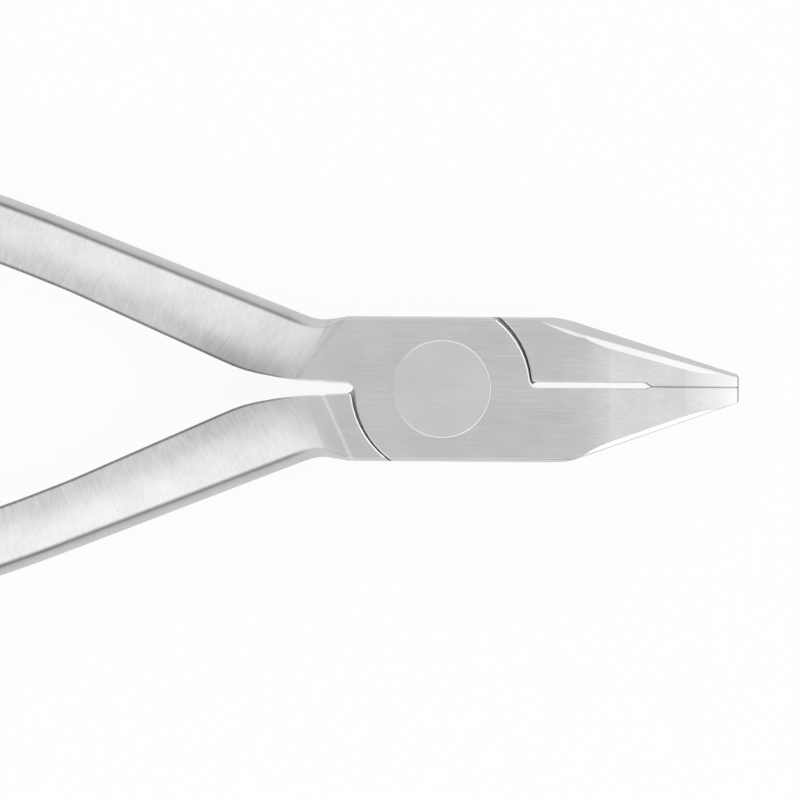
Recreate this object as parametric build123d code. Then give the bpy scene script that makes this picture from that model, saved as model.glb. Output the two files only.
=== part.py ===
from build123d import *
import os
from math import asin, atan2, cos, degrees, hypot, radians, sin, tan

# Orthodontic pliers: two forged halves that cross in a lap joint and turn on one flush rivet.
# Millimetres and degrees. The pliers lie flat and closed. +X runs along the beaks to the tips, +Y
# towards the front half's handle and +Z out of the front face. The origin is on the rivet's axis,
# in the plane of the back face. Each half is drawn about the joint's middle plane with its plate in
# front, its handle at upper left and its beak at lower right, and the rear half is then turned over.

overall_length = 130.0  # beak tips to handle ends

# Lap joint
joint_width = 12.1
joint_thickness = 8.0
joint_side_lean = 0.25  # how far each side leans in from the middle plane to the face
joint_edge_round = 0.12  # along the joint's two sides
lap_radius = 7.3  # rounded edge of each lap plate, about the rivet's axis
beak_shoulder_gap = 0.13  # from a plate's edge to the other half's beak, at the closing line
handle_shoulder_gap = 0.3  # from a plate's edge to the other half's handle, at the fork
shoulder_offset = 0.25  # of the beak's and handle's arcs from the rivet's axis, towards the beak's side
plate_play = 0.04  # between the two plates' ground faces
fork_gap = 1.06  # between the two handles where they leave the joint
fork_lean = 3.0  # of each side of the fork, which narrows towards the joint
inner_corner_radius = 0.8  # where a plate's edge turns into its own beak or handle
outer_corner_radius = 0.3  # of the other half's beak and handle there
rim_width = 0.11  # broken edges that face the other half, seen from the front
rim_depth = 0.045

# Rivet
rivet_head_diameter = 8.1
rivet_shank_diameter = 6.0
rivet_tail_diameter = 7.4
rivet_tail_depth = 0.7
rivet_running_clearance = 0.04  # radial, in the rear half
rivet_rim_width = 0.06
rivet_rim_depth = 0.015

# Beaks
beak_length = 24.75  # rivet to tips
closing_offset = 0.32  # of the closing line from the rivet's axis, towards the rear half's beak
front_taper_start = 10.55  # where the outside starts to narrow
front_tip_width = 1.28  # from the closing line
rear_taper_start = 9.95
rear_tip_width = 1.08
beak_taper_round = 8.0
tip_corner_radius = 0.3
face_taper_start = 11.9  # where the front and back faces start to close in
face_taper_round = 20.0
nose_length = 4.5  # last stretch, where the faces curve in to the tip
nose_thickness = 4.57  # where that stretch starts
tip_thickness = 2.05
tip_rim_width = 0.12  # broken edges of the tip's end
tip_rim_depth = 0.1
land_length = 7.2  # stretch at the tips where the beaks meet
land_heel_gap = 0.01  # at the land's inner end, so that the tips meet first
land_rim = 0.05  # broken edges of the land
front_relief = 0.16  # cut into the beak, behind the land
rear_relief = 0.34
relief_ramp = 0.6
relief_round = 0.5
bevel_angle = 20.0  # of the ground bevels, from the beak's face
front_bevel_width = 0.36
front_flank_draft = 2.2
rear_bevel_width = 0.5
rear_flank_draft = 12.5

# Handles, measured along the outside from the neck
handle_angle = 21.4  # of the outside, from the long axis
neck_distance = 11.35  # rivet to where the handle's outside crosses the joint's side
root_back = 3.2  # from the neck back to the end of the joint's flat face
ramp_length = 1.4  # facet between the joint's flat face and the handle
ramp_drop = 0.16
ramp_step = 0.03  # the handle stands in from the joint by this all round
neck_fall = 12.0  # stretch in which the handle comes down to the thickness of its grip
crease_fall = 5.0  # stretch in which its face leans over and the crease appears
straight_length = 21.0  # from the neck to where the handle starts to bow
bow_radius = 150.0  # from the straight to the handle's end
belly_along = 4.0  # widest place, past the neck
belly_width = 6.2
neck_fullness = 1.6  # a larger value keeps the neck wide for longer
grip_along = 19.0
grip_width = 5.5
end_width = 5.0
grip_thickness = 6.6  # at the inside edge
end_thickness = 5.6
neck_crease_drop = 0.4  # from the inside edge down to the crease, where the handle starts
crease_drop = 1.0  # the same on the grip
crease_width = 0.8  # rounded band outside the crease
flank_height = 1.0  # flat stretch of the outside
neck_crown = 0.05  # swell of the handle's face where it starts
crown = 0.17  # the same on the grip
inside_bevel_width = 0.2
inside_bevel_height = 0.17
end_plan_radius = 2.9  # of the handle's rounded end, seen from the front
end_flat = 0.1  # left between the two corners of the end
end_edge_round = 1.2
station_count = 29  # stretches of the lofted handle
station_growth = 1.07  # each stretch is longer than the last by this

joint_half_width = joint_width / 2
joint_half_thickness = joint_thickness / 2
fork_half = fork_gap / 2
beyond = 2 * overall_length  # reach of a cutting solid
side_stock = joint_width  # left outside the joint and beaks until their sides are ground
overshoot = 1.0  # of a cut past the face that it opens
touching = 0.01  # closer than this is in line


def unit(heading):
    return Vector(cos(radians(heading)), sin(radians(heading)))


def nearest_vertex(sketch, x, y):
    return sketch.vertices().sort_by_distance((x, y, 0))[0]


def ground(solid, point, facing):
    """Grind a flat: remove all that lies beyond the plane through point with that outward normal."""
    plane = Plane(origin=point, z_dir=facing)
    return solid - plane * Pos(0, 0, beyond / 2) * Box(beyond, beyond, beyond)


# Handle
handle_start = ramp_length - root_back
root_flare = root_back * tan(radians(handle_angle))
root_width = (joint_half_width - fork_half) / cos(radians(handle_angle))


def outside_at(along):
    """Point on the handle's outside and its heading there."""
    heading = 180 - handle_angle
    neck = Vector(-neck_distance, joint_half_width)
    if along <= straight_length:
        return neck + unit(heading) * along, heading
    centre = neck + unit(heading) * straight_length + unit(heading + 90) * bow_radius
    turn = degrees((along - straight_length) / bow_radius)
    return centre + unit(heading + turn - 90) * bow_radius, heading + turn


def handle_end():
    """Length of the outside up to the end, where the rounded end's outer corner reaches furthest."""
    bow_start = outside_at(straight_length)[0]
    reach = overall_length - beak_length + bow_start.X - bow_radius * sin(radians(handle_angle))
    corner_path = bow_radius - (end_width - end_flat) / 2
    lead = atan2(end_plan_radius, corner_path)
    turned_in = asin((reach + end_plan_radius) / hypot(corner_path, end_plan_radius)) - lead
    return straight_length + (radians(handle_angle) + turned_in) * bow_radius


def flare_at(along):
    """How far the neck spreads outside the handle's straight line."""
    return root_flare * (min(along, 0) / root_back) ** 2


def width_at(along):
    if along < belly_along:
        share = (belly_along - along) / (belly_along + root_back)
        spread = belly_width - (root_width - root_flare)
        return belly_width - spread * share**neck_fullness + flare_at(along)
    if along < grip_along:
        return belly_width + (grip_width - belly_width) * (along - belly_along) / (grip_along - belly_along)
    return grip_width + (end_width - grip_width) * (along - grip_along) / (handle_end() - grip_along)


def eased(along, stretch, at_start, on_grip):
    """Value that eases from the handle's start to its grip within that stretch."""
    left = max(1 - (along - handle_start) / stretch, 0)
    return on_grip + (at_start - on_grip) * left**2


def height_at(along):
    """Height of the inside edge above the middle plane."""
    along_grip = (along - handle_start) / (handle_end() - handle_start)
    grip_height = (grip_thickness + (end_thickness - grip_thickness) * along_grip) / 2
    return grip_height + eased(along, neck_fall, joint_half_thickness - ramp_drop - grip_thickness / 2, 0)


def section_plane(along):
    """Plane across the handle, with x inwards from the outside and y up."""
    point, heading = outside_at(along)
    origin = point + unit(heading - 90) * flare_at(along)
    return Plane(origin=origin, x_dir=unit(heading + 90), z_dir=unit(heading))


def section(width, height, crease, bevel_width, bevel_height, swell):
    """Flat inside with bevelled edges, crowned faces, a crease and a rounded band outside."""
    flank = (0, flank_height / 2)
    brow = (width - bevel_width, height)
    wall = (width, height - bevel_height)
    upper = [
        Line(wall, brow),
        SagittaArc(brow, crease, -swell) if swell else Line(brow, crease),
        TangentArc(flank, crease, tangent=(0, 1)),
    ]
    lower = [mirror(edge, Plane.XZ) for edge in upper]
    inside = Line(wall, (width, -wall[1]))
    outside = Line(flank, (0, -flank[1]))
    return make_face([inside, outside] + upper + lower)


def handle_section(along):
    height = height_at(along)
    crease = (crease_width, height - eased(along, crease_fall, neck_crease_drop, crease_drop))
    bevel_width = eased(along, neck_fall, rim_width, inside_bevel_width)
    bevel_height = eased(along, neck_fall, rim_depth, inside_bevel_height)
    swell = eased(along, crease_fall, neck_crown, crown)
    return section_plane(along) * section(width_at(along), height, crease, bevel_width, bevel_height, swell)


def root_section():
    """Where the handle leaves the joint's block: the block's own section, a step smaller."""
    height = joint_half_thickness - ramp_step
    crease = (joint_side_lean / cos(radians(handle_angle)), height)
    face = section(root_width - 2 * ramp_step, height, crease, rim_width, rim_depth, 0)
    return section_plane(-root_back) * Pos(ramp_step, 0) * face


def end_cutter():
    """All round the handle's rounded end, which is blunt in side view."""
    to_end = (Align.CENTER, Align.CENTER, Align.MAX)
    width = 2 * end_plan_radius + end_flat
    height = end_thickness + end_edge_round
    nose = Box(width, height, 2 * width, align=to_end)
    nose = fillet(nose.edges().filter_by(Axis.Y).group_by(Axis.Z)[-1], end_plan_radius)
    faces = nose.faces().sort_by(Axis.Y)
    nose = fillet(faces[0].edges() + faces[-1].edges(), end_edge_round)
    block = Pos(0, 0, overshoot) * Box(2 * width, 2 * height, width, align=to_end)
    return section_plane(handle_end()) * Pos(end_width / 2, 0) * (block - nose)


def handle():
    """Ramp from the joint's flat, then a loft through sections that lie closer together near the neck."""
    reach = handle_end() - handle_start
    last = station_growth**station_count - 1
    shares = [(station_growth**step - 1) / last for step in range(station_count + 1)]
    stations = [handle_section(handle_start + reach * share) for share in shares]
    ramp = loft([root_section(), stations[0]], ruled=True)
    return ramp + (loft(stations) - end_cutter())


# Joint block and beak
front_beak = {
    "seam": closing_offset,
    "relief": front_relief,
    "taper_start": front_taper_start,
    "tip_width": front_tip_width,
    "draft": front_flank_draft,
    "bevel_width": front_bevel_width,
}
rear_beak = {
    "seam": -closing_offset,
    "relief": rear_relief,
    "taper_start": rear_taper_start,
    "tip_width": rear_tip_width,
    "draft": rear_flank_draft,
    "bevel_width": rear_bevel_width,
}
land_start = beak_length - land_length


def beak_plan(beak):
    """Plan of a beak, below the closing line and cut back behind its land, with stock outside."""
    seam = beak["seam"]
    behind = seam - beak["relief"]
    relief_end = (land_start - relief_ramp, behind)
    inside = [(0, behind), relief_end, (land_start, seam - land_heel_gap), (beak_length, seam)]
    stock = [(beak_length, -side_stock), (0, -side_stock)]
    plan = make_face(Polyline(*inside, *stock, close=True))
    return fillet(nearest_vertex(plan, *relief_end), relief_round)


def shoulder_plan():
    """Plan of the joint's flat that leads to the handle, with stock outside."""
    plane = section_plane(-root_back)
    root_outside = plane.origin - plane.x_dir * side_stock
    root_inside = plane.origin + plane.x_dir * root_width
    fork_end = (0, root_inside.Y + root_inside.X * tan(radians(fork_lean)))
    return make_face(Polyline((0, root_outside.Y), root_outside, root_inside, fork_end, close=True))


def outline(beak):
    """Plan that the sides are ground to: the joint's width, then the beak's taper to its tip."""
    taper = (beak["taper_start"], -joint_half_width)
    tip = (beak_length, beak["seam"] - beak["tip_width"])
    back = [(-beyond, -joint_half_width), (-beyond, joint_half_width)]
    plan = make_face(Polyline(taper, tip, (beak_length, joint_half_width), *reversed(back), close=True))
    plan = fillet(nearest_vertex(plan, *taper), beak_taper_round)
    plan = fillet(nearest_vertex(plan, *tip), tip_corner_radius)
    return extrude(plan, amount=joint_thickness, both=True)


def side_profile():
    """Side view of the joint and beak: parallel faces, a taper, then a nose that curves in to the tip."""
    back = (-beyond, joint_half_thickness)
    taper = (face_taper_start, joint_half_thickness)
    nose = (beak_length - nose_length, nose_thickness / 2)
    tip = (beak_length - tip_rim_width, tip_thickness / 2)
    past_tip = (beak_length + tip_rim_width, tip_thickness / 2 - 2 * tip_rim_depth)
    heading = (nose[0] - taper[0], nose[1] - taper[1])
    upper = [Line(back, taper), Line(taper, nose), TangentArc(nose, tip, tangent=heading), Line(tip, past_tip)]
    lower = [mirror(edge, Plane.XZ) for edge in upper]
    ends = [Line(corner, (corner[0], -corner[1])) for corner in (back, past_tip)]
    profile = make_face(upper + lower + ends)
    corners = [nearest_vertex(profile, taper[0], side * taper[1]) for side in (1, -1)]
    return extrude(Plane.XZ * fillet(corners, face_taper_round), amount=joint_width, both=True)


def facing_rims(face, beak):
    """Edges of a flat face that face the other half."""
    rims = []
    for edge in face.edges():
        middle = edge @ 0.5
        by_lap = hypot(middle.X, middle.Y) < lap_radius + inner_corner_radius
        by_seam = beak["seam"] - beak["relief"] - touching <= middle.Y <= fork_half + touching
        if by_lap or by_seam:
            rims.append(edge)
    return rims


def land_rims(block, beak):
    """Edges of the land, front and back."""
    rims = []
    for edge in block.edges():
        middle = edge @ 0.5
        by_seam = abs(middle.Y - beak["seam"]) < land_heel_gap + touching
        upright = abs((edge % 0.5).Z) > abs((edge % 0.5).X)
        if by_seam and not upright and middle.X > land_start:
            rims.append(edge)
    return rims


def with_rims(block, beak):
    """Break the edges that face the other half: on the front, and on the beak's and handle's backs."""
    for side, end in ((1, 0), (-1, 0), (-1, -1)):
        flats = block.faces().filter_by(Axis.Z).filter_by_position(
            Axis.Z, side * joint_half_thickness - touching, side * joint_half_thickness + touching
        )
        face = flats.sort_by(Axis.X)[end]
        block = chamfer(facing_rims(face, beak), rim_width, rim_depth, reference=face)
    return chamfer(land_rims(block, beak), land_rim)


def joint_block(beak):
    """Lap plate in front, with the full-thickness beak and shoulder on either side of it."""
    behind = beak["seam"] - beak["relief"]
    inside_beak = beak_plan(beak)
    shoulder = shoulder_plan()
    front = Circle(lap_radius) + inside_beak + shoulder
    inner_corners = [nearest_vertex(front, lap_radius, behind), nearest_vertex(front, -lap_radius, fork_half)]
    front = fillet(inner_corners, inner_corner_radius)
    beak_edge = lap_radius + beak_shoulder_gap
    handle_edge = lap_radius + handle_shoulder_gap
    beak_back = inside_beak - Pos(0, -shoulder_offset) * Circle(beak_edge)
    beak_back = fillet(nearest_vertex(beak_back, beak_edge, behind), outer_corner_radius)
    shoulder_back = shoulder - Pos(0, -shoulder_offset) * Circle(handle_edge)
    shoulder_back = fillet(nearest_vertex(shoulder_back, -handle_edge, fork_half), outer_corner_radius)
    step = plate_play / 2
    block = Pos(0, 0, step) * extrude(front, amount=joint_half_thickness - step)
    for plan in (beak_back, shoulder_back):
        block += Pos(0, 0, step) * extrude(plan, amount=-joint_half_thickness - step)
    block = with_rims(block & side_profile(), beak)
    return block & outline(beak) & joint_bar()


def joint_bar():
    """Joint's section, with sides that lean in towards the faces, run along the whole block."""
    corner = (joint_half_width - joint_side_lean, joint_half_thickness)
    flank = (joint_half_width, flank_height / 2)
    band = TangentArc(flank, corner, tangent=(0, 1))
    right = [Line((0, joint_half_thickness), corner), band, Line(flank, (flank[0], 0))]
    upper = right + [mirror(edge, Plane.YZ) for edge in right]
    bar = make_face(upper + [mirror(edge, Plane.XZ) for edge in upper])
    corners = [nearest_vertex(bar, across * corner[0], up * corner[1]) for across in (1, -1) for up in (1, -1)]
    return extrude(Plane.YZ * fillet(corners, joint_edge_round), amount=beyond, both=True)


def ground_beak(block, beak):
    """Lean the beak's outer flank in by its draft, front and back, and bevel its edges."""
    start = Vector(beak["taper_start"], -joint_half_width)
    along = (Vector(beak_length, beak["seam"] - beak["tip_width"]) - start).normalized()
    outward = Vector(along.Y, -along.X)
    slope = (joint_thickness - nose_thickness) / 2 / (beak_length - nose_length - face_taper_start)
    lean = tan(radians(beak["draft"]))
    at_taper = start + along * ((face_taper_start - start.X) / along.X)
    for side in (1, -1):
        up = Vector(0, 0, side)
        flank = (outward + up * lean).normalized()
        block = ground(block, start, flank)
        face = Vector(slope, 0, side).normalized()
        across = (flank - face * flank.dot(face)).normalized()
        edge = flank.cross(face)
        crease = at_taper + (up - outward * lean) * joint_half_thickness
        crease += along * ((face_taper_start - crease.X) / along.X)
        brow = crease - across * beak["bevel_width"]
        brow += edge * ((face_taper_start - brow.X) / edge.X)
        bevel = face * cos(radians(bevel_angle)) + across * sin(radians(bevel_angle))
        block = ground(block, brow, bevel)
        run_out = crease - along * ((crease.Y + joint_half_width - joint_side_lean) / along.Y)
        back = (brow - run_out).normalized()
        aside = Vector(back.Y, -back.X)
        block = ground(block, brow, up * cos(radians(bevel_angle)) + aside * sin(radians(bevel_angle)))
    return block


def half(beak, bore):
    return ground_beak(joint_block(beak), beak) + handle() - bore


# Rivet
def turned(profile):
    """Solid turned about the rivet's axis from its (radius, height) outline."""
    return revolve(Plane.XZ * make_face(Polyline(*profile, close=True)), Axis.Z)


def rivet():
    head = rivet_head_diameter / 2
    shank = rivet_shank_diameter / 2
    tail = rivet_tail_diameter / 2
    back = -joint_half_thickness
    front = joint_half_thickness
    seat = plate_play / 2
    return turned([
        (0, back),
        (tail, back),
        (shank, back + rivet_tail_depth),
        (shank, seat),
        (head, seat),
        (head, front - rivet_rim_depth),
        (head - rivet_rim_width, front),
        (0, front),
    ])


def head_bore():
    """Bore that the rivet's head is fast in."""
    radius = rivet_head_diameter / 2
    rim = joint_half_thickness
    mouth = radius + 2 * rivet_rim_width
    return turned([
        (0, -joint_thickness),
        (radius, -joint_thickness),
        (radius, rim - rivet_rim_depth),
        (mouth, rim + rivet_rim_depth),
        (0, rim + rivet_rim_depth),
    ])


def shank_bore():
    """Bore and countersink that the rivet's shank and tail run in."""
    shank = rivet_shank_diameter / 2 + rivet_running_clearance
    tail = rivet_tail_diameter / 2 + rivet_running_clearance
    rim = joint_half_thickness
    return turned([
        (0, -joint_thickness),
        (shank, -joint_thickness),
        (shank, rim - rivet_tail_depth),
        (tail, rim),
        (tail, joint_thickness),
        (0, joint_thickness),
    ])


lift = Pos(0, 0, joint_half_thickness)
front_half = lift * half(front_beak, head_bore())
rear_half = lift * Rot(180, 0, 0) * half(rear_beak, shank_bore())
joint_rivet = lift * rivet()

os.makedirs("parts", exist_ok=True)
export_step(front_half, "parts/front_half.step")
export_step(rear_half, "parts/rear_half.step")
export_step(joint_rivet, "parts/joint_rivet.step")
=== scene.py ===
import math

import bpy
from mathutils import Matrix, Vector


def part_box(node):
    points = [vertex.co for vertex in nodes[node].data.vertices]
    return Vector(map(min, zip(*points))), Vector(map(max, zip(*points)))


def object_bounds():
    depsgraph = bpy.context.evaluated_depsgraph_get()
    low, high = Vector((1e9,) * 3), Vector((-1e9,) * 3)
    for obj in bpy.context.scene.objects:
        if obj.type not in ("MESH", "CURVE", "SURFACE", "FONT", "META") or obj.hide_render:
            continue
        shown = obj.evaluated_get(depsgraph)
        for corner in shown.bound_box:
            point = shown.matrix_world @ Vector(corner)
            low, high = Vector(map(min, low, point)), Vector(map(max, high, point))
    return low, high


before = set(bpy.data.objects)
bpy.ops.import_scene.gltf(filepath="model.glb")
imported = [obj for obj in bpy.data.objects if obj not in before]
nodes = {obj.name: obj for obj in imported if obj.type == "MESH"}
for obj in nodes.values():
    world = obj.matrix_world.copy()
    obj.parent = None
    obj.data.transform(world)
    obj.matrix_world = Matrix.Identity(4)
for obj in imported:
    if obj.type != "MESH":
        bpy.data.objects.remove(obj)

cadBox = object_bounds()
mm = 0.001

print("frame loaded:", ", ".join(sorted(nodes)))


# Camera, straight above the pliers
photoView = {
    "imagePixels": 800,
    "rivetPixel": (442.3, 389.0),   # middle of the rivet, from the image's upper left
    "pixelsPerMm": 12.05,           # on the joint's front face
    "rollDeg": 0.45,
    "lens": 300.0,
    "sensor": 36.0,
}


def addCamera(v):
    data = bpy.data.cameras.new("photoCamera")
    data.lens = v["lens"]
    data.sensor_width = v["sensor"]
    camera = bpy.data.objects.new("photoCamera", data)
    bpy.context.scene.collection.objects.link(camera)
    roll = math.radians(v["rollDeg"])
    camera.rotation_euler = (0, 0, roll)
    right = Vector((math.cos(roll), math.sin(roll), 0))
    up = Vector((-math.sin(roll), math.cos(roll), 0))
    middle = v["imagePixels"] / 2
    across = (v["rivetPixel"][0] - middle) / v["pixelsPerMm"] * mm
    above = (middle - v["rivetPixel"][1]) / v["pixelsPerMm"] * mm
    fieldWidth = v["imagePixels"] / v["pixelsPerMm"] * mm
    away = fieldWidth * v["lens"] / v["sensor"]
    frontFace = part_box("joint_rivet")[1].z
    camera.location = Vector((0, 0, frontFace + away)) - right * across - up * above
    bpy.context.scene.camera = camera


addCamera(photoView)
print("camera placed")


# Small helpers for shader trees
def setInputs(tree, node, inputs):
    for name, value in inputs.items():
        if isinstance(value, bpy.types.NodeSocket):
            tree.links.new(value, node.inputs[name])
        else:
            node.inputs[name].default_value = value


def addNode(tree, kind, inputs=None, **settings):
    node = tree.nodes.new(kind)
    for name, value in settings.items():
        setattr(node, name, value)
    setInputs(tree, node, inputs or {})
    return node


def calc(tree, operation, a, b=0.0, clamp=False):
    node = addNode(tree, "ShaderNodeMath", {0: a, 1: b}, operation=operation, use_clamp=clamp)
    return node.outputs[0]


def product(tree, first, *others):
    for other in others:
        first = calc(tree, "MULTIPLY", first, other)
    return first


def vectorCalc(tree, operation, a, b):
    return addNode(tree, "ShaderNodeVectorMath", {0: a, 1: b}, operation=operation).outputs[0]


def reachAlong(tree, place, direction):
    node = addNode(tree, "ShaderNodeVectorMath", {0: place, 1: direction}, operation="DOT_PRODUCT")
    return node.outputs["Value"]


def axesOf(tree, vector):
    return addNode(tree, "ShaderNodeSeparateXYZ", {0: vector}).outputs


def spread(tree, value, low, high, newLow, newHigh, kind="SMOOTHSTEP"):
    inputs = {"Value": value, "From Min": low, "From Max": high, "To Min": newLow, "To Max": newHigh}
    return addNode(tree, "ShaderNodeMapRange", inputs, interpolation_type=kind).outputs[0]


def lineAt(tree, value, place, halfWidth):
    off = calc(tree, "ABSOLUTE", calc(tree, "SUBTRACT", value, place))
    return spread(tree, off, 0.0, halfWidth, 1.0, 0.0)


def blend(tree, share, a, b):
    return addNode(tree, "ShaderNodeMix", {0: share, 2: a, 3: b}).outputs[0]


def toned(tree, level, mask, tone):
    return calc(tree, "MULTIPLY", level, blend(tree, mask, 1.0, tone))


def shaded(tree, color, level):
    grey = addNode(tree, "ShaderNodeCombineColor", {0: level, 1: level, 2: level}).outputs[0]
    node = addNode(tree, "ShaderNodeMix", {"Factor": 1.0}, data_type="RGBA", blend_type="MULTIPLY")
    node.inputs[6].default_value = (*color, 1)   # colours are at 6 and 7 here
    tree.links.new(grey, node.inputs[7])
    return node.outputs[2]


def newGroup(name, inputs, *outputs):
    tree = bpy.data.node_groups.new(name, "ShaderNodeTree")
    for label, (kind, value) in inputs.items():
        socket = tree.interface.new_socket(label, in_out="INPUT", socket_type=kind)
        if value is not None:
            socket.default_value = value
    for label in outputs:
        tree.interface.new_socket(label, in_out="OUTPUT", socket_type="NodeSocketFloat")
    start = tree.nodes.new("NodeGroupInput")
    end = tree.nodes.new("NodeGroupOutput")
    return tree, start.outputs, end.inputs


def useGroup(tree, group, **inputs):
    node = addNode(tree, "ShaderNodeGroup", node_tree=group)
    setInputs(tree, node, inputs)
    return node.outputs


# Fine lines left by a grinding belt: long in the first coordinate, thin in the others
def brushLines():
    inputs = {
        "Place": ("NodeSocketVector", None),
        "Length": ("NodeSocketFloat", 4.0),
        "Width": ("NodeSocketFloat", 0.1),
    }
    tree, into, out = newGroup("brushLines", inputs, "Lines")
    along = calc(tree, "DIVIDE", 1.0, into["Length"])
    across = calc(tree, "DIVIDE", 1.0, into["Width"])
    scale = addNode(tree, "ShaderNodeCombineXYZ", {"X": along, "Y": across, "Z": across}).outputs[0]
    placed = vectorCalc(tree, "MULTIPLY", into["Place"], scale)
    noise = addNode(tree, "ShaderNodeTexNoise", {"Vector": placed, "Scale": 1.0, "Detail": 2.0})
    tree.links.new(noise.outputs["Fac"], out["Lines"])
    return tree


# Broad uneven tone that the belt leaves behind
def softPatches():
    inputs = {"Place": ("NodeSocketVector", None), "Size": ("NodeSocketFloat", 3.0)}
    tree, into, out = newGroup("softPatches", inputs, "Patches")
    scale = calc(tree, "DIVIDE", 1.0, into["Size"])
    noise = addNode(tree, "ShaderNodeTexNoise", {"Vector": into["Place"], "Scale": scale, "Detail": 1.0})
    tree.links.new(noise.outputs["Fac"], out["Patches"])
    return tree


# Painted shade where light is lost in seams and inner corners
seamLook = {
    "reach": 0.5,            # mm
    "darkest": 0.3,
    "openness": (0.05, 0.6),     # from darkest to clear
    "samples": 8,
}


def seamShade(s):
    inputs = {
        "Reach": ("NodeSocketFloat", s["reach"] * mm),
        "Darkest": ("NodeSocketFloat", s["darkest"]),
    }
    tree, into, out = newGroup("seamShade", inputs, "Light")
    sky = addNode(tree, "ShaderNodeAmbientOcclusion", {"Distance": into["Reach"]}, samples=s["samples"])
    light = spread(tree, sky.outputs["AO"], *s["openness"], into["Darkest"], 1.0)
    tree.links.new(light, out["Light"])
    return tree


# Blunt edges that handling has polished, also painted a little lighter as a highlight, and sharp ones painted
# with a fine dark line of shade
edgeLook = {
    "reach": 0.18,           # mm
    "sharpTurn": (0.84, 0.98),   # how alike the rounded and the real normal are
    "wornTurn": (0.97, 0.998),
    "samples": 4,
}


def edgeWearSheenAndShade(e):
    inputs = {"Reach": ("NodeSocketFloat", e["reach"] * mm)}
    tree, into, out = newGroup("edgeWearSheenAndShade", inputs, "WornAndSheen", "SharpShade")
    rounded = addNode(tree, "ShaderNodeBevel", {"Radius": into["Reach"]}, samples=e["samples"]).outputs[0]
    real = addNode(tree, "ShaderNodeNewGeometry").outputs["Normal"]
    alike = reachAlong(tree, rounded, real)
    sharp = spread(tree, alike, *e["sharpTurn"], 1.0, 0.0)
    blunt = spread(tree, alike, *e["wornTurn"], 1.0, 0.0)
    tree.links.new(calc(tree, "SUBTRACT", blunt, sharp, clamp=True), out["WornAndSheen"])
    tree.links.new(sharp, out["SharpShade"])
    return tree


brushLinesGroup = brushLines()
softPatchesGroup = softPatches()
seamShadeGroup = seamShade(seamLook)
edgeWearSheenAndShadeGroup = edgeWearSheenAndShade(edgeLook)
print("shader groups made")


def newMaterial(name):
    material = bpy.data.materials.new(name)
    material.use_nodes = True
    tree = material.node_tree
    tree.nodes.clear()
    output = tree.nodes.new("ShaderNodeOutputMaterial")
    return material, tree, output


def dress(node, material):
    node.data.materials.clear()
    node.data.materials.append(material)


def placeInMm(tree):
    place = addNode(tree, "ShaderNodeTexCoord").outputs["Object"]
    return vectorCalc(tree, "MULTIPLY", place, (1 / mm, 1 / mm, 1 / mm))


# Steel of every piece; the ranges are the parts of the noise that show
steelNoise = {
    "lineRange": (0.25, 0.75),
    "patchRange": (0.3, 0.7),
    "glossRange": (0.2, 0.8),
}


# Level of the colour: lines, uneven tone, worn edges lightened partly as a painted highlight, and painted
# shade in seams
def steelLevel(tree, inMm, finish, lines, lineTone, wornAndSheen):
    patchTone = finish["patchTone"]
    level = spread(tree, lines, *steelNoise["lineRange"], -1.0, 1.0, "LINEAR")
    level = calc(tree, "MULTIPLY", level, lineTone)
    patches = useGroup(tree, softPatchesGroup, Place=inMm, Size=finish["patchSize"])["Patches"]
    uneven = spread(tree, patches, *steelNoise["patchRange"], 1 - patchTone, 1 + patchTone)
    level = calc(tree, "ADD", level, uneven)
    # worn edges lighter: polish, and partly a painted highlight
    level = calc(tree, "ADD", level, calc(tree, "MULTIPLY", wornAndSheen, finish["wornAndSheenTone"]))
    # painted shade in seams and inner corners
    return calc(tree, "MULTIPLY", level, useGroup(tree, seamShadeGroup)["Light"])


# The metal itself, with the lines in its gloss and as a slight bump
def finishSteel(tree, output, finish, lines, level, roughness):
    gloss = finish["lineGloss"]
    change = spread(tree, lines, *steelNoise["glossRange"], -gloss, gloss)
    bump = addNode(tree, "ShaderNodeBump", {
        "Strength": finish["lineBump"],
        "Distance": finish["lineDepth"] * mm,
        "Height": lines,
    })
    shader = addNode(tree, "ShaderNodeBsdfPrincipled", {
        "Base Color": shaded(tree, finish["color"], level),
        "Metallic": 1.0,
        "Roughness": calc(tree, "ADD", roughness, change),
        "Normal": bump.outputs[0],
        "Specular Tint": (*finish["edgeColor"], 1),
    })
    tree.links.new(shader.outputs[0], output.inputs["Surface"])


# Slot between the beaks, in mm from the rivet's axis
beakSlot = {
    "middle": 0.41,          # across the pliers
    "halfWidth": 0.25,
    "edgeWidth": 0.065,      # from the edge's painted shade to the rim's
    "rimWidth": 0.13,
    "rimFade": 0.03,
    "start": (7.7, 8.4),     # along the pliers
    "end": (16.9, 17.3),
    # painted shade at the slot's edge and on its rims
    "edgeShadeTone": 0.72,
    "rimShadeTone": 0.84,
}


# Painted shade along the slot's broken edges and rims
def slotShade(tree, inMm, b):
    axes = axesOf(tree, inMm)
    off = calc(tree, "ABSOLUTE", calc(tree, "SUBTRACT", axes["Y"], b["middle"]))
    edgeEnd = b["halfWidth"] + b["edgeWidth"]
    rimEnd = b["halfWidth"] + b["rimWidth"]
    shade = spread(tree, off, b["halfWidth"], edgeEnd, b["edgeShadeTone"], b["rimShadeTone"])
    outside = spread(tree, off, rimEnd - b["rimFade"], rimEnd, 0.0, 1.0)
    shade = blend(tree, outside, shade, 1.0)
    started = spread(tree, axes["X"], *b["start"], 0.0, 1.0)
    ended = spread(tree, axes["X"], *b["end"], 1.0, 0.0)
    return toned(tree, 1.0, product(tree, started, ended), shade)


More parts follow.
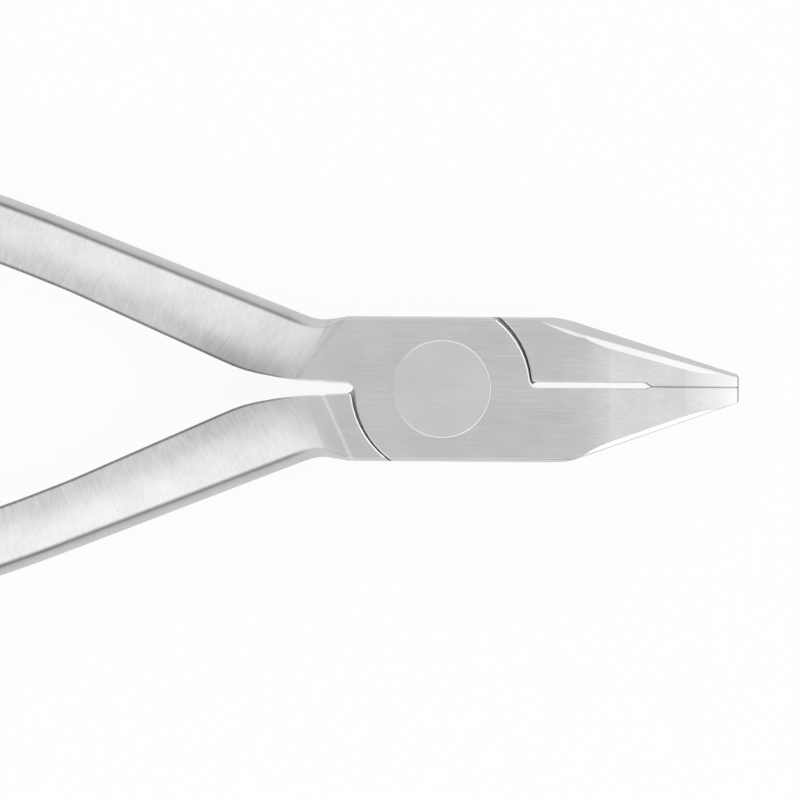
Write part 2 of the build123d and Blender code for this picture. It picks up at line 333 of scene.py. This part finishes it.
# Handles, in mm along each one from its neck and in from its outside
handleLine = {
    "neck": (-11.35, 6.05),  # where the handle's outside leaves the joint's side
    "angleDeg": 21.4,
    "straight": 21.0,
    "bowRadius": 150.0,
    "flare": 1.25,           # how far the neck spreads over the ramp
    "rampStart": -3.2,
    "rampBlend": 0.6,        # no painted dark edge line within this of the ramp's start
    "rampLine": 0.28,        # half width of the painted shade and highlight lines across the ramp; the last of them is where the grinding changes to satin
    "satinEdge": 0.1,        # half width of the change to satin, along the second of those lines
    "creaseDepth": 0.8,
    "creaseLine": 0.28,      # half width of the crease's painted dark line of shade
    "creaseShadeTone": 0.56,
    "creaseFade": (-1.5, 1.5),   # where the crease starts along the handle
    "creaseSlope": (0.15, 0.4),  # none on upright faces, such as the handle's end
    "bandShadeTone": 0.76,        # painted shade outside the crease
    "belly": (4.0, 6.2),     # widest place, and its width
    "grip": (19.0, 5.5),
    "waist": 1.53,           # how much narrower the handle starts
    "waistReach": 7.2,       # from the belly
    "waistFullness": 1.6,
    "rollReach": (0.1, 2.6),     # from the handle's inside
    "rollAlong": (4.0, 8.0),     # middle and half length of the rolled stretch
    "rollSlope": (0.4, 0.6),
}


# Distance along the handle and in from its outside, first straight and then round the bow
def handlePlace(tree, inMm, side, k):
    heading = math.radians(180 - k["angleDeg"])
    neck = Vector((*k["neck"], 0))
    along = Vector((math.cos(heading), math.sin(heading), 0))
    inward = Vector((-math.sin(heading), math.cos(heading), 0))
    centre = neck + along * k["straight"] + inward * k["bowRadius"]
    mirrored = vectorCalc(tree, "MULTIPLY", inMm, (1, side, 1))
    fromNeck = vectorCalc(tree, "SUBTRACT", mirrored, neck)
    fromCentre = vectorCalc(tree, "SUBTRACT", mirrored, centre)
    runs = reachAlong(tree, fromNeck, along)
    ahead = reachAlong(tree, fromCentre, along)
    outward = reachAlong(tree, fromCentre, -inward)
    squares = calc(tree, "ADD", product(tree, ahead, ahead), product(tree, outward, outward))
    bowDepth = calc(tree, "SUBTRACT", k["bowRadius"], calc(tree, "SQRT", squares))
    bowed = calc(tree, "GREATER_THAN", runs, k["straight"])
    depth = blend(tree, bowed, reachAlong(tree, fromNeck, inward), bowDepth)
    overRamp = calc(tree, "DIVIDE", calc(tree, "MINIMUM", runs, 0.0), k["rampStart"])
    depth = calc(tree, "ADD", depth, product(tree, overRamp, overRamp, k["flare"]))

    # the same place with its first coordinate across the handle, for lines that way
    turned = calc(tree, "MULTIPLY", calc(tree, "ARCTAN2", ahead, outward), k["bowRadius"])
    height = axesOf(tree, inMm)["Z"]
    crosswise = addNode(tree, "ShaderNodeCombineXYZ", {"X": outward, "Y": turned, "Z": height}).outputs[0]
    return runs, depth, crosswise


# Painted shade and highlight lines slanting across the ramp, and the satin that starts at the last of them
def rampMarks(tree, runs, depth, rampLines, k):
    level = 1.0
    for start, slant, tone in rampLines:
        fromStart = calc(tree, "SUBTRACT", runs, start)
        past = calc(tree, "SUBTRACT", fromStart, calc(tree, "MULTIPLY", depth, slant))
        level = toned(tree, level, lineAt(tree, past, 0.0, k["rampLine"]), tone)
    onHandle = spread(tree, past, -k["satinEdge"], k["satinEdge"], 0.0, 1.0)
    return level, onHandle


# Painted shade: a dark line in the crease, and a darker band outside it
def creaseShade(tree, runs, depth, faceUp, k):
    crease = k["creaseDepth"]
    started = spread(tree, runs, *k["creaseFade"], 0.0, 1.0)
    creased = product(tree, started, spread(tree, faceUp, *k["creaseSlope"], 0.0, 1.0))
    rising = spread(tree, depth, 0.0, crease, 0.0, 1.0)
    falling = spread(tree, depth, crease, crease + k["creaseLine"], 1.0, 0.0)
    level = toned(tree, 1.0, product(tree, rising, falling, creased), k["bandShadeTone"])
    line = product(tree, lineAt(tree, depth, crease, k["creaseLine"]), creased)
    return toned(tree, level, line, k["creaseShadeTone"])


# Shade where the belly's face rolls over to the handle's inside
def rollShade(tree, runs, depth, faceUp, rollTone, k):
    bellyAt, bellyWidth = k["belly"]
    gripAt, gripWidth = k["grip"]
    width = spread(tree, runs, bellyAt, gripAt, bellyWidth, gripWidth, "LINEAR")
    toBelly = calc(tree, "SUBTRACT", bellyAt, runs)
    toBelly = calc(tree, "DIVIDE", toBelly, k["waistReach"], clamp=True)
    waist = calc(tree, "MULTIPLY", calc(tree, "POWER", toBelly, k["waistFullness"]), k["waist"])
    fromInside = calc(tree, "SUBTRACT", calc(tree, "SUBTRACT", width, waist), depth)
    rolled = product(
        tree,
        spread(tree, fromInside, *k["rollReach"], 1.0, 0.0),
        lineAt(tree, runs, *k["rollAlong"]),
        spread(tree, faceUp, *k["rollSlope"], 0.0, 1.0),
    )
    return toned(tree, 1.0, rolled, rollTone)


# The two halves: ground joint and beaks, satin handles
halfFinish = {
    "color": (0.63, 0.63, 0.63),
    "edgeColor": (0.83, 0.83, 0.83),   # seen at a slant
    "groundRoughness": 0.24,
    "satinRoughness": 0.27,
    "groundLength": 4.0,     # mm, as are the other lengths
    "groundWidth": 0.11,
    "groundTone": 0.03,      # lighter and darker lines
    "satinLength": 1.5,
    "satinWidth": 0.22,
    "satinTone": 0.075,
    "lineGloss": 0.04,
    "lineBump": 0.25,
    "lineDepth": 0.004,
    "patchSize": 3.0,
    "patchTone": 0.03,
    # worn edges lighter: polish, and partly a painted highlight
    "wornAndSheenTone": 0.05,
    "wornPolish": 0.05,
    # painted dark line of shade along sharp edges
    "sharpShadeTone": 0.5,
}
# each painted line across a ramp: where it starts at the handle's outside, its slant, its tone (below 1
# painted shade, above 1 painted highlight)
frontHalf = {
    "node": "front_half",
    "material": "frontHalfSteel",
    "handleSide": 1,
    "rampLines": ((-2.94, 0.31, 0.91), (-2.08, 0.18, 0.93)),
    "rollTone": 0.66,
}
rearHalf = {
    "node": "rear_half",
    "material": "rearHalfSteel",
    "handleSide": -1,
    "rampLines": ((-3.69, 0.06, 1.25), (-1.8, 0.0, 1.05)),
    "rollTone": 0.86,
}


def halfSteel(half, h, k):
    material, tree, output = newMaterial(half["material"])
    inMm = placeInMm(tree)
    runs, depth, crosswise = handlePlace(tree, inMm, half["handleSide"], k)
    rampShadeAndHighlight, onHandle = rampMarks(tree, runs, depth, half["rampLines"], k)
    normal = addNode(tree, "ShaderNodeNewGeometry").outputs["Normal"]
    faceUp = calc(tree, "ABSOLUTE", axesOf(tree, normal)["Z"])
    edges = useGroup(tree, edgeWearSheenAndShadeGroup)

    ground = useGroup(tree, brushLinesGroup, Place=inMm, Length=h["groundLength"], Width=h["groundWidth"])
    satin = useGroup(tree, brushLinesGroup, Place=crosswise, Length=h["satinLength"], Width=h["satinWidth"])
    lines = blend(tree, onHandle, ground["Lines"], satin["Lines"])
    lineTone = blend(tree, onHandle, h["groundTone"], h["satinTone"])

    # one level for the colour: the marks on the steel, together with the painted shade and highlights
    level = steelLevel(tree, inMm, h, lines, lineTone, edges["WornAndSheen"])
    # painted dark line of shade along sharp edges, left out near the ramp's start
    atRamp = lineAt(tree, runs, k["rampStart"], k["rampBlend"])
    level = toned(tree, level, blend(tree, atRamp, edges["SharpShade"], 0.0), h["sharpShadeTone"])
    level = product(
        tree,
        level,
        rampShadeAndHighlight,
        creaseShade(tree, runs, depth, faceUp, k),
        rollShade(tree, runs, depth, faceUp, half["rollTone"], k),
        slotShade(tree, inMm, beakSlot),
    )

    roughness = blend(tree, onHandle, h["groundRoughness"], h["satinRoughness"])
    polish = calc(tree, "MULTIPLY", edges["WornAndSheen"], h["wornPolish"])
    finishSteel(tree, output, h, lines, level, calc(tree, "SUBTRACT", roughness, polish))
    return material


for half in (frontHalf, rearHalf):
    dress(nodes[half["node"]], halfSteel(half, halfFinish, handleLine))


# The rivet, ground flush with the joint
rivetFinish = {
    "color": (0.675, 0.675, 0.675),
    "edgeColor": (0.83, 0.83, 0.83),   # seen at a slant
    "roughness": 0.25,
    "lineLength": 2.0,       # mm, as are the other lengths
    "lineWidth": 0.12,
    "lineTone": 0.015,       # lighter and darker lines
    "lineGloss": 0.03,
    "lineBump": 0.2,
    "lineDepth": 0.004,
    "patchSize": 3.0,
    "patchTone": 0.02,
    # worn edges lighter: polish, and partly a painted highlight
    "wornAndSheenTone": 0.1,
}


def rivetSteel(r):
    material, tree, output = newMaterial("rivetSteel")
    inMm = placeInMm(tree)
    lines = useGroup(tree, brushLinesGroup, Place=inMm, Length=r["lineLength"], Width=r["lineWidth"])["Lines"]
    # edge mask for the polish and the painted highlight on the rivet's edges
    wornAndSheen = useGroup(tree, edgeWearSheenAndShadeGroup)["WornAndSheen"]
    level = steelLevel(tree, inMm, r, lines, r["lineTone"], wornAndSheen)
    finishSteel(tree, output, r, lines, level, r["roughness"])
    return material


dress(nodes["joint_rivet"], rivetSteel(rivetFinish))
print("steel finishes dressed")


# Floor and light tent
studio = {
    "floorSize": 6.0,        # m
    "floorGap": 0.01,        # mm under the pliers
    "floorColor": (0.9, 0.9, 0.9),
    "floorWhite": 0.93,      # share of plain white that the floor shows
    "roof": 0.785,           # brightness straight above
    "roofEdge": (0.065, 0.755),  # where the roof turns to wall, as distance squared from straight above
    "roofWidth": 0.57,       # of the roof across the pliers, where its length is 1
    "frontWall": 2.1,        # wall beyond the tips
    "backWall": 0.74,        # wall behind the handles
    "wallTurn": (-0.6, 0.55),    # from back to front along the pliers
    "nearSide": 0.1,         # how much brighter the wall is below the lower handle
    "sideWall": 1.27,        # walls on either side
    "sideTurn": (0.3, 0.5),
    "sideSweep": 0.5,        # how far the side walls give way towards the tips
    "foot": (0.36, 0.6),     # down at the floor, behind the handles and beyond the tips
    "footTurn": (-0.4, 1.0),
    "footHeight": (0.38, 0.65),  # where the foot turns to wall
}


def addFloor(s):
    half = s["floorSize"] / 2
    corners = [(-half, -half, 0), (half, -half, 0), (half, half, 0), (-half, half, 0)]
    mesh = bpy.data.meshes.new("floor")
    mesh.from_pydata(corners, [], [(0, 1, 2, 3)])
    floor = bpy.data.objects.new("floor", mesh)
    bpy.context.scene.collection.objects.link(floor)
    floor.location.z = cadBox[0].z - s["floorGap"] * mm
    material, tree, output = newMaterial("paleFloor")
    rays = addNode(tree, "ShaderNodeLightPath").outputs
    seen = calc(tree, "ADD", rays["Is Camera Ray"], rays["Is Glossy Ray"])
    seen = calc(tree, "ADD", seen, rays["Is Transmission Ray"], clamp=True)
    share = calc(tree, "MULTIPLY", seen, s["floorWhite"])
    lit = addNode(tree, "ShaderNodeBsdfDiffuse", {"Color": (*s["floorColor"], 1)})
    white = addNode(tree, "ShaderNodeEmission", {"Color": (1, 1, 1, 1), "Strength": 1.0})
    both = addNode(tree, "ShaderNodeMixShader", {0: share, 1: lit.outputs[0], 2: white.outputs[0]})
    tree.links.new(both.outputs[0], output.inputs["Surface"])
    dress(floor, material)


def addTent(s):
    world = bpy.data.worlds.new("lightTent")
    bpy.context.scene.world = world
    world.use_nodes = True
    tree = world.node_tree
    tree.nodes.clear()
    axes = axesOf(tree, addNode(tree, "ShaderNodeTexCoord").outputs["Generated"])

    wall = spread(tree, axes["X"], *s["wallTurn"], s["backWall"], s["frontWall"])
    swept = calc(tree, "MULTIPLY", calc(tree, "MAXIMUM", axes["X"], 0.0), s["sideSweep"])
    aside = calc(tree, "SUBTRACT", calc(tree, "ABSOLUTE", axes["Y"]), swept)
    wall = blend(tree, spread(tree, aside, *s["sideTurn"], 0.0, 1.0), wall, s["sideWall"])
    near = spread(tree, axes["Y"], -1, 1, 1 + s["nearSide"], 1 - s["nearSide"], "LINEAR")
    wall = calc(tree, "MULTIPLY", wall, near)
    foot = spread(tree, axes["X"], *s["footTurn"], *s["foot"])
    wall = spread(tree, axes["Z"], *s["footHeight"], foot, wall)

    across = calc(tree, "DIVIDE", axes["Y"], s["roofWidth"])
    away = calc(tree, "ADD", product(tree, axes["X"], axes["X"]), product(tree, across, across))
    level = spread(tree, away, *s["roofEdge"], s["roof"], wall, "LINEAR")
    light = addNode(tree, "ShaderNodeBackground", {"Color": (1, 1, 1, 1), "Strength": level})
    output = tree.nodes.new("ShaderNodeOutputWorld")
    tree.links.new(light.outputs[0], output.inputs["Surface"])


addFloor(studio)
addTent(studio)
bpy.context.scene.view_settings.view_transform = "Standard"
print("studio lit")
